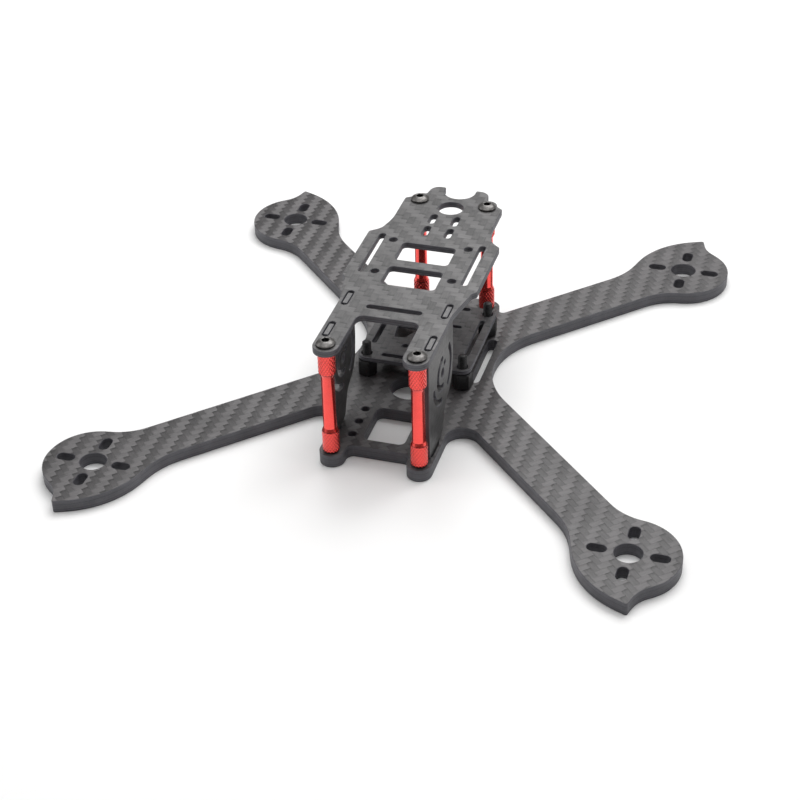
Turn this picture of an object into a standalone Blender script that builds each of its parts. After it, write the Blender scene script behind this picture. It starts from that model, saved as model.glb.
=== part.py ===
"""Bare 210 mm racing drone frame: carbon plates bolted together with knurled red standoffs.

Row frame: front is -Y, the drone's right is +X, up is +Z. The origin is the point of the
resting surface below the centre of the four motor mounts. Sizes below are in millimetres
and become metres where the meshes are made.
"""
import math

import bmesh
import bpy
from mathutils import Matrix

MM = 0.001
GAP = 0.3
ARC_TOLERANCE = 0.09
ARC_STEP = math.radians(30)

# Motor layout
WHEELBASE = 210.0
FRONT_SPACING = 158.0
REAR_SPACING = 138.0
FRONT_X = FRONT_SPACING / 2
REAR_X = REAR_SPACING / 2
MOTOR_Y = math.sqrt(WHEELBASE ** 2 - (FRONT_X + REAR_X) ** 2) / 2

# Plates
BASE_THICKNESS = 4.0
TOP_THICKNESS = 2.0
STACK_THICKNESS = 1.5
CAMERA_THICKNESS = 1.5
STANDOFF_LENGTH = 35.0
SPACER_LENGTH = 6.0

# M3 fasteners
SHANK_RADIUS = 1.4
CLEARANCE_RADIUS = 1.7
HEAD_RADIUS = 2.85
HEAD_HEIGHT = 1.45
SOCKET_FLATS = 2.0
SOCKET_DEPTH = 0.95
GRIP_LENGTH = 6.0
SUNK_HEAD_RADIUS = 2.6
SUNK_HEAD_HEIGHT = SUNK_HEAD_RADIUS - SHANK_RADIUS
SUNK_RECESS = 0.1
SINK_RADIUS = SUNK_HEAD_RADIUS + SUNK_RECESS + 0.43
HOLE_SIDES = 18

# Levels, bottom to top
BASE_BOTTOM = 0.0
BASE_TOP = BASE_BOTTOM + BASE_THICKNESS
STACK_BOTTOM = BASE_TOP + SPACER_LENGTH
STACK_TOP = STACK_BOTTOM + STACK_THICKNESS
TOP_BOTTOM = BASE_TOP + STANDOFF_LENGTH
TOP_TOP = TOP_BOTTOM + TOP_THICKNESS

# Arms
ARM_WIDTH = 15.4
PAD_RADIUS = 14.7
MOTOR_BORE = 8.0
MOTOR_SLOT_RADIUS = 8.75
MOTOR_SLOT_LENGTH = 5.6
MOTOR_SLOT_WIDTH = 3.2

# Fixing points
FRONT_POST = (13.4, -51.1)
REAR_POST = (11.0, 35.4)
STACK_Y = 5.0
STACK_PITCH = 30.5
CAMERA_PLATE_X = 15.1
TAB_SLOT_WIDTH = CAMERA_THICKNESS + 2 * GAP
TAB_SLOT_LENGTH = 8.0
TAB_LENGTH = 5.8
TOP_TAB_Y = (-43.2, -26.0)
BASE_TAB_Y = -43.2

# Standoffs
KNURL_RADIUS = 2.55
WAIST_RADIUS = 2.0
KNURL_LENGTH = 8.3
KNURL_TAPER = 1.5
SPACER_FLATS = 5.5
STUD_LENGTH = 4.2
SPACER_ANGLES = (54, 21, 8, 37)


def arc(cx, cy, radius, start, sweep):
    """Points along an arc, spaced so that no chord strays past the tolerance."""
    step = min(ARC_STEP, 2 * math.acos(1 - min(ARC_TOLERANCE / radius, 0.5)))
    count = max(1, math.ceil(abs(sweep) / step))
    angles = [start + sweep * i / count for i in range(count + 1)]
    return [(cx + radius * math.cos(a), cy + radius * math.sin(a)) for a in angles]


def rounded(corners):
    """Closed outline through (x, y, radius) corners, each rounded to its own radius."""
    points = []
    for i, (x, y, radius) in enumerate(corners):
        px, py, _ = corners[i - 1]
        nx, ny, _ = corners[(i + 1) % len(corners)]
        heading = math.atan2(y - py, x - px)
        turn = math.remainder(math.atan2(ny - y, nx - x) - heading, math.tau)
        if radius == 0 or abs(turn) < 1e-6:
            points.append((x, y))
            continue
        side = math.copysign(1, turn)
        setback = radius * math.tan(abs(turn) / 2)
        sx = x - setback * math.cos(heading)
        sy = y - setback * math.sin(heading)
        cx = sx - side * radius * math.sin(heading)
        cy = sy + side * radius * math.cos(heading)
        points += arc(cx, cy, radius, heading - side * math.pi / 2, turn)
    return points


def mirrored(corners):
    """A right half outline's corners, front to rear, closed with their mirror image."""
    return corners + [(-x, y, r) for x, y, r in reversed(corners)]


def circle(x, y, radius):
    return arc(x, y, radius, 0, math.tau)[:-1]


def box(x, y, width, length, radius):
    w = width / 2
    h = length / 2
    return rounded([
        (x - w, y - h, radius), (x + w, y - h, radius),
        (x + w, y + h, radius), (x - w, y + h, radius),
    ])


def slot(x, y, length_x, length_y):
    """A slot with full round ends, as a cutter leaves it."""
    radius = min(length_x, length_y) / 2 - 0.001
    return box(x, y, length_x, length_y, radius)


def both_sides(hole, x, *rest):
    return [hole(-x, *rest), hole(x, *rest)]


def motor_pad(mx, my, facing):
    """Corners of one arm's end, from the arm's horn side round to its other side.

    The pad is a disc about the motor with a pointed horn. Its corners are laid out for an
    arm that comes in at 45 degrees, with the horn towards -Y (facing -1) or +Y (facing 1).
    """
    edge = ARM_WIDTH / 2 * math.sqrt(2)
    first = math.radians(-84)
    last = math.radians(53)
    half = (last - first) / 4
    reach = PAD_RADIUS / math.cos(half)
    corners = [
        (-18.2, edge - 18.2, 24.0),
        (-11.8, 14.6, 26.0),
        (3.6, 20.6, 0.7),
        (5.3, 14.7, 9.5),
        (reach * math.cos(last - half), reach * math.sin(last - half), PAD_RADIUS),
        (reach * math.cos(first + half), reach * math.sin(first + half), PAD_RADIUS),
        (-4.6, -4.6 - edge, 17.0),
    ]
    placed = [(mx + u, my + facing * v, r) for u, v, r in corners]
    return placed if facing < 0 else placed[::-1]


def base_corners():
    """The base plate's right half: front lug, front arm, side scoop, rear arm, tail."""
    edge = ARM_WIDTH / 2 * math.sqrt(2)
    front_arm = FRONT_X - MOTOR_Y
    rear_arm = MOTOR_Y - REAR_X
    lug_inner = FRONT_POST[0] - 3.9
    lug_outer = FRONT_POST[0] + 3.65
    lug_tip = FRONT_POST[1] - 3.5
    lug_radius = (lug_outer - lug_inner) / 2 - 0.01
    tail_x = REAR_POST[0] + 4.1
    tail_y = REAR_POST[1] + 4.5
    waist_x = (front_arm - rear_arm) / 2 + edge
    waist_y = (front_arm + rear_arm) / 2
    return [
        (lug_inner, -47.6, 2.2),
        (lug_inner, lug_tip, lug_radius),
        (lug_outer, lug_tip, lug_radius),
        (lug_outer, front_arm - edge - lug_outer, 5.2),
        *motor_pad(FRONT_X, -MOTOR_Y, -1),
        (waist_x, waist_y, 27.0),
        *motor_pad(REAR_X, MOTOR_Y, 1),
        (tail_x, tail_x + rear_arm + edge, 1.5),
        (tail_x, tail_y, 4.0),
    ]


def base_holes():
    holes = []
    for mx, my in ((FRONT_X, -MOTOR_Y), (REAR_X, MOTOR_Y)):
        reach = MOTOR_SLOT_RADIUS
        holes += both_sides(circle, mx, my, MOTOR_BORE / 2)
        for dy in (-reach, reach):
            holes += both_sides(slot, mx, my + dy, MOTOR_SLOT_WIDTH, MOTOR_SLOT_LENGTH)
        for dx in (-reach, reach):
            holes += both_sides(slot, mx + dx, my, MOTOR_SLOT_LENGTH, MOTOR_SLOT_WIDTH)
    holes.append(box(0, -35.5, 12.9, 16.4, 2.0))
    holes.append(circle(0, -14.9, 6.15))
    for y in (-42.1, -35.5, -29.0):
        holes += both_sides(circle, 10.0, y, 1.3)
    holes += both_sides(slot, 18.0, STACK_Y, 3.0, 24.5)
    holes += both_sides(slot, CAMERA_PLATE_X, BASE_TAB_Y, TAB_SLOT_WIDTH, TAB_SLOT_LENGTH)
    return holes


def top_corners():
    """The top plate's right half: camera prong, side, waist, rear corner, tail horn."""
    return [
        (9.4, -34.1, 2.4),
        (9.4, -55.1, 3.8),
        (17.1, -55.1, 3.8),
        (17.1, -27.5, 9.0),
        (19.5, -15.2, 0.9),
        (20.8, -13.8, 0.7),
        (20.8, 12.6, 0.8),
        (17.6, 15.3, 5.0),
        (15.9, 22.0, 20.0),
        (15.9, 35.6, 0.9),
        (13.9, 37.0, 1.5),
        (12.9, 39.9, 2.6),
        (10.0, 39.9, 0.5),
        (9.3, 45.2, 3.2),
        (5.0, 45.2, 0.5),
        (5.0, 38.7, 4.95),
    ]


def top_holes():
    holes = [
        circle(0, 32.4, 4.0),
        box(0, 3.4, 16.7, 10.4, 1.4),
        box(0, -11.0, 16.7, 10.4, 1.4),
        slot(0, -29.0, 16.8, 2.1),
    ]
    for y in (17.0, 24.6):
        holes += both_sides(slot, 3.65, y, 2.1, 5.8)
    for y in (-9.7, 9.25):
        holes += both_sides(circle, 11.9, y, 1.35)
    holes += both_sides(slot, 15.9, 0.5, 2.0, 23.4)
    for y in TOP_TAB_Y:
        holes += both_sides(slot, CAMERA_PLATE_X, y, TAB_SLOT_WIDTH, TAB_SLOT_LENGTH)
    for x, y in (FRONT_POST, REAR_POST):
        holes += both_sides(circle, x, y, CLEARANCE_RADIUS)
    return holes


def stack_holes():
    """Cut-outs of the stack plate, about its own centre."""
    holes = [
        slot(0, -15.1, 21.2, 1.7),
        slot(0, 16.2, 18.8, 1.7),
        rounded([(-9.6, -4.6, 0.4), (-6.2, -4.3, 0.4), (-3.1, 2.6, 0.4), (-10.4, 2.6, 0.4)]),
    ]
    holes += both_sides(slot, 14.8, 0.8, 1.6, 20.6)
    holes.append(circle(-4.9, -8.7, 1.0))
    holes += both_sides(slot, 7.4, 5.7, 3.8, 1.4)
    for dy in (-STACK_PITCH / 2, STACK_PITCH / 2):
        holes += both_sides(circle, STACK_PITCH / 2, dy, CLEARANCE_RADIUS)
    return holes


def camera_corners():
    """The camera plate seen from the side: x is the row's Y, y is height above the base."""
    top = STANDOFF_LENGTH - GAP
    tab_top = STANDOFF_LENGTH + TOP_THICKNESS - 0.1
    tab_bottom = -BASE_THICKNESS + 0.4
    half = TAB_LENGTH / 2
    front_tab, rear_tab = TOP_TAB_Y
    return [
        (-48.4, GAP, 0.3),
        (BASE_TAB_Y - half, GAP, 0),
        (BASE_TAB_Y - half, tab_bottom, 0.3),
        (BASE_TAB_Y + half, tab_bottom, 0.3),
        (BASE_TAB_Y + half, GAP, 0),
        (-35.2, GAP, 3.0),
        (-32.0, 8.6, 5.0),
        (-24.2, 12.0, 8.5),
        (-22.8, 22.0, 12.0),
        (-22.8, top, 0.5),
        (rear_tab + half, top, 0),
        (rear_tab + half, tab_top, 0.3),
        (rear_tab - half, tab_top, 0.3),
        (rear_tab - half, top, 0),
        (front_tab + half, top, 0),
        (front_tab + half, tab_top, 0.3),
        (front_tab - half, tab_top, 0.3),
        (front_tab - half, top, 0),
        (-48.4, top, 0.5),
    ]


def arc_slot(cx, cy, radius, width, start, end):
    """A curved slot with round ends, along an arc about (cx, cy)."""
    start = math.radians(start)
    sweep = math.radians(end) - start
    half = width / 2
    outer = arc(cx, cy, radius + half, start, sweep)
    inner = arc(cx, cy, radius - half, start + sweep, -sweep)
    ends = []
    for angle, facing in ((start + sweep, start + sweep), (start, start + math.pi)):
        ex = cx + radius * math.cos(angle)
        ey = cy + radius * math.sin(angle)
        ends.append(arc(ex, ey, half, facing, math.pi)[1:-1])
    return outer + ends[0] + inner + ends[1]


def camera_holes():
    """Camera pivot, its second hole, and the three curved tilt slots about the pivot."""
    px, py = -34.3, 21.2
    return [
        circle(px, py, 1.6),
        circle(px + 2.5, py + 2.1, 1.0),
        arc_slot(px, py, 4.7, 2.0, 90, 272),
        arc_slot(px, py, 8.9, 2.0, -52, 32),
        arc_slot(px, py, 8.9, 2.0, 190, 260),
    ]


def finished(bm, name):
    """Turn every face outwards and hand the shape over as a mesh."""
    bmesh.ops.recalc_face_normals(bm, faces=bm.faces[:])
    if bm.calc_volume(signed=True) < 0:
        bmesh.ops.reverse_faces(bm, faces=bm.faces[:])
    mesh = bpy.data.meshes.new(name)
    bm.to_mesh(mesh)
    bm.free()
    return mesh


def ring(radius, z, sides, x=0, y=0):
    """Points of a level ring."""
    step = math.tau / sides
    angles = [i * step for i in range(sides)]
    return [(x + radius * math.cos(a), y + radius * math.sin(a), z) for a in angles]


def join_rings(bm, first, second):
    """Faces between two rings, where one may have several times the other's corners."""
    few, many = sorted((first, second), key=len)
    ratio = len(many) // len(few)
    for i, corner in enumerate(few):
        neighbour = few[(i + 1) % len(few)]
        if ratio == 1:
            bm.faces.new((corner, many[i], many[(i + 1) % len(many)], neighbour))
            continue
        start = i * ratio - ratio // 2
        for j in range(start, start + ratio):
            bm.faces.new((corner, many[j % len(many)], many[(j + 1) % len(many)]))
        bm.faces.new((corner, many[(start + ratio) % len(many)], neighbour))


def sunk_hole(x, y, thickness):
    """Level rings of a screw hole with a cone below for a countersunk head."""
    return [
        ring(SINK_RADIUS, 0, HOLE_SIDES, x, y),
        ring(CLEARANCE_RADIUS, SINK_RADIUS - CLEARANCE_RADIUS, HOLE_SIDES, x, y),
        ring(CLEARANCE_RADIUS, thickness, HOLE_SIDES, x, y),
    ]


def flat_mesh(name, outline, holes, thickness, sunk=()):
    """A closed plate of the given thickness, cut through by plain and countersunk holes."""
    bm = bmesh.new()
    stacks = [[[(x, y, z) for x, y in loop] for z in (0, thickness)] for loop in [outline] + holes]
    stacks += [sunk_hole(x, y, thickness) for x, y in sunk]
    faces = ([], [])
    for stack in stacks:
        rings = [[bm.verts.new((x * MM, y * MM, z * MM)) for x, y, z in loop] for loop in stack]
        for first, second in zip(rings, rings[1:]):
            join_rings(bm, first, second)
        for edges, rim in zip(faces, (rings[0], rings[-1])):
            edges += [bm.edges.get((rim[i - 1], rim[i])) for i in range(len(rim))]
    for edges in faces:
        bmesh.ops.triangle_fill(bm, edges=edges, use_beauty=True, use_dissolve=False)
    return finished(bm, name)


def skinned_mesh(name, loops):
    """A closed mesh through a stack of level loops, capped at its first and last loop."""
    bm = bmesh.new()
    rings = [[bm.verts.new((x * MM, y * MM, z * MM)) for x, y, z in loop] for loop in loops]
    for first, second in zip(rings, rings[1:]):
        join_rings(bm, first, second)
    bm.faces.new(rings[0])
    bm.faces.new(rings[-1])
    return finished(bm, name)


def screw_mesh(name, shank):
    """A button-head screw, head up, its seat at z = 0, with a hexagon socket."""
    corner = SOCKET_FLATS / math.sqrt(3)
    loops = [
        ring(corner, HEAD_HEIGHT - SOCKET_DEPTH, 6),
        ring(corner, HEAD_HEIGHT, 6),
        ring(1.45, HEAD_HEIGHT, 18),
        ring(2.3, HEAD_HEIGHT * 0.77, 18),
        ring(HEAD_RADIUS, HEAD_HEIGHT * 0.18, 18),
        ring(HEAD_RADIUS, 0, 18),
        ring(SHANK_RADIUS, 0, 18),
        ring(SHANK_RADIUS, 0.3 - shank, 18),
        ring(SHANK_RADIUS - 0.3, -shank, 18),
    ]
    return skinned_mesh(name, loops)


def sunk_screw_mesh(name, shank):
    """A countersunk screw, head up, its flat face at z = 0, with a hexagon socket."""
    corner = SOCKET_FLATS / math.sqrt(3)
    loops = [
        ring(corner, -SOCKET_DEPTH, 6),
        ring(corner, 0, 6),
        ring(SUNK_HEAD_RADIUS, 0, 18),
        ring(SHANK_RADIUS, -SUNK_HEAD_HEIGHT, 18),
        ring(SHANK_RADIUS, 0.3 - shank, 18),
        ring(SHANK_RADIUS - 0.3, -shank, 18),
    ]
    return skinned_mesh(name, loops)


def standoff_mesh(name):
    """A turned post with two knurled ends, a slimmer waist and a threaded hole each end."""
    length = STANDOFF_LENGTH - 2 * GAP
    depth = GRIP_LENGTH + 0.8
    rise = 0.35
    profile = [
        (CLEARANCE_RADIUS, depth), (CLEARANCE_RADIUS, 0), (KNURL_RADIUS - rise, 0),
        (KNURL_RADIUS, rise), (KNURL_RADIUS, KNURL_LENGTH - KNURL_TAPER),
        (WAIST_RADIUS, KNURL_LENGTH),
    ]
    profile += [(r, length - z) for r, z in reversed(profile)]
    return skinned_mesh(name, [ring(r, z, 18) for r, z in profile])


def spacer_mesh(name):
    """A moulded hexagon spacer with a threaded hole below and a stud above."""
    corner = SPACER_FLATS / math.sqrt(3)
    height = SPACER_LENGTH - 2 * GAP
    tip = SPACER_LENGTH + STACK_THICKNESS + STUD_LENGTH - GAP
    loops = [
        ring(CLEARANCE_RADIUS, height - 1.6, 18),
        ring(CLEARANCE_RADIUS, 0, 18),
        ring(corner, 0, 6),
        ring(corner, height, 6),
        ring(SHANK_RADIUS, height, 18),
        ring(SHANK_RADIUS, tip - 0.3, 18),
        ring(SHANK_RADIUS - 0.3, tip, 18),
    ]
    return skinned_mesh(name, loops)


def material(name, colour, roughness, metallic):
    mat = bpy.data.materials.new(name)
    mat.use_nodes = True
    shader = mat.node_tree.nodes["Principled BSDF"]
    shader.inputs["Base Color"].default_value = (*colour, 1)
    shader.inputs["Roughness"].default_value = roughness
    shader.inputs["Metallic"].default_value = metallic
    mat.diffuse_color = (*colour, 1)
    return mat


def place(name, mesh, mat, matrix, parent):
    """Add an object for one piece, in its material, at its place on the frame."""
    obj = bpy.data.objects.new(name, mesh)
    if not mesh.materials:
        mesh.materials.append(mat)
    mesh.shade_smooth()
    mesh.set_sharp_from_angle(angle=math.radians(35))
    obj.parent = parent
    obj.matrix_world = matrix
    bpy.context.scene.collection.objects.link(obj)
    return obj


def at(x, y, z):
    return Matrix.Translation((x * MM, y * MM, z * MM))


def corners_of(front, rear):
    """The four fixing points, named by where they are."""
    return [
        ("front_left", -front[0], front[1]), ("front_right", *front),
        ("rear_left", -rear[0], rear[1]), ("rear_right", *rear),
    ]


def build_plates(carbon, matt_carbon, parent):
    half = STACK_PITCH / 2
    fixings = corners_of(FRONT_POST, REAR_POST)
    fixings += corners_of((half, STACK_Y - half), (half, STACK_Y + half))
    sunk = [(x, y) for _, x, y in fixings]
    outline = rounded(mirrored(base_corners()))
    base = flat_mesh("base_plate", outline, base_holes(), BASE_THICKNESS, sunk)
    place("base_plate", base, carbon, at(0, 0, BASE_BOTTOM), parent)
    top = flat_mesh("top_plate", rounded(mirrored(top_corners())), top_holes(), TOP_THICKNESS)
    place("top_plate", top, carbon, at(0, 0, TOP_BOTTOM), parent)
    side = STACK_PITCH + 5.5
    stack = flat_mesh("stack_plate", box(0, 0, side, side, 3.0), stack_holes(), STACK_THICKNESS)
    place("stack_plate", stack, matt_carbon, at(0, STACK_Y, STACK_BOTTOM), parent)
    camera = flat_mesh("camera_plate", rounded(camera_corners()), camera_holes(), CAMERA_THICKNESS)
    upright = Matrix(((0, 0, 1, 0), (1, 0, 0, 0), (0, 1, 0, 0), (0, 0, 0, 1)))
    for name, x in (("camera_plate_left", -CAMERA_PLATE_X), ("camera_plate_right", CAMERA_PLATE_X)):
        place(name, camera, carbon, at(x - CAMERA_THICKNESS / 2, 0, BASE_TOP) @ upright, parent)


def build_posts(red, steel, nylon, parent):
    flip = Matrix.Rotation(math.pi, 4, "X")
    face = BASE_BOTTOM + SUNK_RECESS
    standoff = standoff_mesh("standoff")
    top_screw = screw_mesh("top_screw", TOP_THICKNESS + GRIP_LENGTH)
    base_screw = sunk_screw_mesh("base_screw", BASE_THICKNESS + GRIP_LENGTH)
    for where, x, y in corners_of(FRONT_POST, REAR_POST):
        place("standoff_" + where, standoff, red, at(x, y, BASE_TOP + GAP), parent)
        place("top_screw_" + where, top_screw, steel, at(x, y, TOP_TOP + GAP), parent)
        place("base_screw_" + where, base_screw, steel, at(x, y, face) @ flip, parent)
    half = STACK_PITCH / 2
    spacer = spacer_mesh("stack_spacer")
    stack_screw = sunk_screw_mesh("stack_screw", BASE_THICKNESS + 3.2)
    corners = corners_of((half, STACK_Y - half), (half, STACK_Y + half))
    for (where, x, y), angle in zip(corners, SPACER_ANGLES):
        turned = Matrix.Rotation(math.radians(angle), 4, "Z")
        place("stack_spacer_" + where, spacer, nylon, at(x, y, BASE_TOP + GAP) @ turned, parent)
        place("stack_screw_" + where, stack_screw, steel, at(x, y, face) @ flip, parent)


def main():
    for obj in list(bpy.data.objects):
        bpy.data.objects.remove(obj, do_unlink=True)
    frame = bpy.data.objects.new("frame", None)
    bpy.context.scene.collection.objects.link(frame)
    carbon = material("carbon_plate", (0.13, 0.13, 0.135), 0.45, 0.0)
    matt_carbon = material("stack_carbon", (0.06, 0.06, 0.063), 0.5, 0.0)
    red = material("red_anodised_aluminium", (0.75, 0.035, 0.02), 0.35, 0.9)
    steel = material("black_oxide_steel", (0.05, 0.05, 0.052), 0.35, 0.8)
    nylon = material("black_nylon", (0.015, 0.015, 0.016), 0.45, 0.0)
    build_plates(carbon, matt_carbon, frame)
    build_posts(red, steel, nylon, frame)


main()
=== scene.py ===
"""Looks of the 210 mm racing drone frame: woven carbon plates, knurled red posts, black hardware.

Row frame: front is -Y, the drone's right is +X, up is +Z, and z = 0 is the resting surface.
Sizes below are in millimetres and become metres where the meshes are made.
"""
import math

import bmesh
import bpy
from mathutils import Matrix, Vector


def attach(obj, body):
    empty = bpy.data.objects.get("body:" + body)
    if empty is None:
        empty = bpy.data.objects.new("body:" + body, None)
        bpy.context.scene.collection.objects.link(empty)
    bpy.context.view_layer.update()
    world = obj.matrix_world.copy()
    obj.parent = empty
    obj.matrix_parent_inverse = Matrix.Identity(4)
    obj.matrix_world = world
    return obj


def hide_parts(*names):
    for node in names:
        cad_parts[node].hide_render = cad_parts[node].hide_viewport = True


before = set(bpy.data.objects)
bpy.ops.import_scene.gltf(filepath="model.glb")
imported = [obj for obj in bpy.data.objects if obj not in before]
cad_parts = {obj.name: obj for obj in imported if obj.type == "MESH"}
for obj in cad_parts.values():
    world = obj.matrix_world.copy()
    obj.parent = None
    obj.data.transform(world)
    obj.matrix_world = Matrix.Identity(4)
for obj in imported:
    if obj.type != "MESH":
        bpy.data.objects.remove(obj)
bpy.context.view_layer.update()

MM = 0.001
GAP = 0.3
ARC_TOLERANCE = 0.012
ARC_STEP = math.radians(12)

# Motor layout
WHEELBASE = 210.0
FRONT_X = 79.0
REAR_X = 69.0
MOTOR_Y = math.sqrt(WHEELBASE ** 2 - (FRONT_X + REAR_X) ** 2) / 2

# Plates
BASE_THICKNESS = 4.0
TOP_THICKNESS = 2.0
STACK_THICKNESS = 1.5
CAMERA_THICKNESS = 1.5
STANDOFF_LENGTH = 35.0
SPACER_LENGTH = 6.0
CHAMFER = 0.13
PLY = 0.22

# M3 fasteners, whose button heads stand a little proud of the top plate
SHANK_RADIUS = 1.4
CLEARANCE_RADIUS = 1.7
HEAD_RADIUS = 2.85
HEAD_HEIGHT = 1.35
HEAD_SEAT = 0.2
SOCKET_FLATS = 2.0
SOCKET_DEPTH = 0.95
GRIP_LENGTH = 6.0
SHORT_GRIP_LENGTH = 3.2
SUNK_HEAD_RADIUS = 2.6
SUNK_HEAD_HEIGHT = SUNK_HEAD_RADIUS - SHANK_RADIUS
SUNK_RECESS = 0.1
SINK_RADIUS = SUNK_HEAD_RADIUS + SUNK_RECESS + 0.43
SOCKET_CORNER = SOCKET_FLATS / math.sqrt(3)
THREAD_PITCH = 0.5
THREAD_DEPTH = 0.2
TURNED_SIDES = 48
SHARP_ANGLE = math.radians(32)

# Levels, bottom to top
BASE_TOP = BASE_THICKNESS
STACK_BOTTOM = BASE_TOP + SPACER_LENGTH
TOP_BOTTOM = BASE_TOP + STANDOFF_LENGTH
TOP_TOP = TOP_BOTTOM + TOP_THICKNESS

# Arms
ARM_WIDTH = 15.4
PAD_RADIUS = 14.7
MOTOR_BORE = 8.0
MOTOR_SLOT_RADIUS = 8.75
MOTOR_SLOT_LENGTH = 5.6
MOTOR_SLOT_WIDTH = 3.2

# Fixing points
FRONT_POST = (13.4, -51.1)
REAR_POST = (11.0, 35.4)
STACK_Y = 5.0
STACK_PITCH = 30.5
STACK_HALF = STACK_PITCH / 2
STACK_CORNERS = ((STACK_HALF, STACK_Y - STACK_HALF), (STACK_HALF, STACK_Y + STACK_HALF))
CAMERA_PLATE_X = 15.1
TAB_SLOT_WIDTH = CAMERA_THICKNESS + 2 * GAP
TAB_SLOT_LENGTH = 8.0
TAB_LENGTH = 5.8
TOP_TAB_Y = (-43.2, -26.0)
BASE_TAB_Y = -43.2

# Standoffs and spacers
KNURL_RADIUS = 2.55
WAIST_RADIUS = 2.0
KNURL_LENGTH = 8.3
KNURL_TAPER = 1.5
KNURL_CELLS = 16
KNURL_PITCH = 1.5
KNURL_DEPTH = 0.14
KNURL_SLOPE = 3.4
KNURL_STEPS = 10
END_CHAMFER = 0.35
SPACER_FLATS = 5.5
STUD_LENGTH = 4.2
SPACER_ANGLES = (54, 21, 8, 37)

# Colours, each pair a material's two tones. Each tow pair is one carbon tow twice: a lit copy with a
# painted sheen for the warp floats and a shaded copy for the weft floats
BASE_TOWS_LIT_AND_SHADED = ((0.086, 0.081, 0.083, 1), (0.059, 0.056, 0.0572, 1))
TOP_TOWS_LIT_AND_SHADED = ((0.106, 0.103, 0.1035, 1), (0.079, 0.077, 0.0775, 1))
STACK_TOWS_LIT_AND_SHADED = ((0.08, 0.078, 0.08, 1), (0.067, 0.065, 0.067, 1))
SIDE_TOWS_LIT_AND_SHADED = ((0.062, 0.061, 0.062, 1), (0.052, 0.051, 0.052, 1))
EDGE_PLIES = ((0.038, 0.038, 0.044, 1), (0.135, 0.133, 0.15, 1))
# Painted highlight: the pale grey laid on up-facing cut faces, as if lit from above
EDGE_PAINTED_HIGHLIGHT = (0.19, 0.187, 0.185, 1)
RED_DYE = (1.0, 0.084, 0.07, 1)
OXIDE = ((0.14, 0.134, 0.13, 1), (0.26, 0.25, 0.24, 1))
# Painted shade: the near-black laid inside the hexagon socket
SOCKET_PAINTED_SHADE = (0.01, 0.01, 0.01, 1)
NYLON = ((0.012, 0.012, 0.013, 1), (0.04, 0.04, 0.042, 1))
FLOOR_WHITES = ((0.885, 0.883, 0.88, 1), (0.895, 0.893, 0.89, 1))

# Camera and light, in metres and watts
CAMERA_AZIMUTH = math.radians(17.744)
CAMERA_ELEVATION = math.radians(35.357)
CAMERA_ROLL = math.radians(-1.670)
CAMERA_DISTANCE = 0.5419
CAMERA_TARGET = Vector((0.0, -0.0259, 0.0069))
CAMERA_LENS = 81.03
SKY_STRENGTH = 0.06
BACKDROP_STRENGTH = 1.0
FLOOR_REACH = 1.0
FLOOR_FADE = (0.3, 0.65)
SOFTBOXES = (
    ("behind", Vector((0.08, 0.8, 1.15)), (1.3, 0.9), 16.0),
    ("overhead", Vector((0.0, -0.05, 1.4)), (1.4, 1.6), 12.0),
    ("right", Vector((1.15, 0.1, 0.75)), (0.7, 0.9), 3.0),
    ("left", Vector((-1.1, -0.2, 0.75)), (0.7, 0.9), 3.5),
)


def arc(cx, cy, radius, start, sweep):
    """Points along an arc, spaced so that no chord strays past the tolerance."""
    step = min(ARC_STEP, 2 * math.acos(1 - min(ARC_TOLERANCE / radius, 0.5)))
    count = max(1, math.ceil(abs(sweep) / step))
    angles = [start + sweep * i / count for i in range(count + 1)]
    return [(cx + radius * math.cos(a), cy + radius * math.sin(a)) for a in angles]


def rounded(corners):
    """Closed outline through (x, y, radius) corners, each rounded to its own radius."""
    points = []
    for i, (x, y, radius) in enumerate(corners):
        px, py, _ = corners[i - 1]
        nx, ny, _ = corners[(i + 1) % len(corners)]
        heading = math.atan2(y - py, x - px)
        turn = math.remainder(math.atan2(ny - y, nx - x) - heading, math.tau)
        if radius == 0 or abs(turn) < 1e-6:
            points.append((x, y))
            continue
        side = math.copysign(1, turn)
        setback = radius * math.tan(abs(turn) / 2)
        sx = x - setback * math.cos(heading)
        sy = y - setback * math.sin(heading)
        cx = sx - side * radius * math.sin(heading)
        cy = sy + side * radius * math.cos(heading)
        points += arc(cx, cy, radius, heading - side * math.pi / 2, turn)
    return points


def mirrored(corners):
    """A right half outline's corners, front to rear, closed with their mirror image."""
    return corners + [(-x, y, r) for x, y, r in reversed(corners)]


def circle(x, y, radius):
    """A round hole or rim."""
    return arc(x, y, radius, 0, math.tau)[:-1]


def box(x, y, width, length, radius):
    """A rectangle about its centre with rounded corners."""
    w = width / 2
    h = length / 2
    return rounded([
        (x - w, y - h, radius), (x + w, y - h, radius),
        (x + w, y + h, radius), (x - w, y + h, radius),
    ])


def slot(x, y, length_x, length_y):
    """A slot with full round ends, as a cutter leaves it."""
    radius = min(length_x, length_y) / 2 - 0.001
    return box(x, y, length_x, length_y, radius)


def both_sides(hole, x, *rest):
    """The same hole to the left and to the right of the centre line."""
    return [hole(-x, *rest), hole(x, *rest)]


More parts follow.
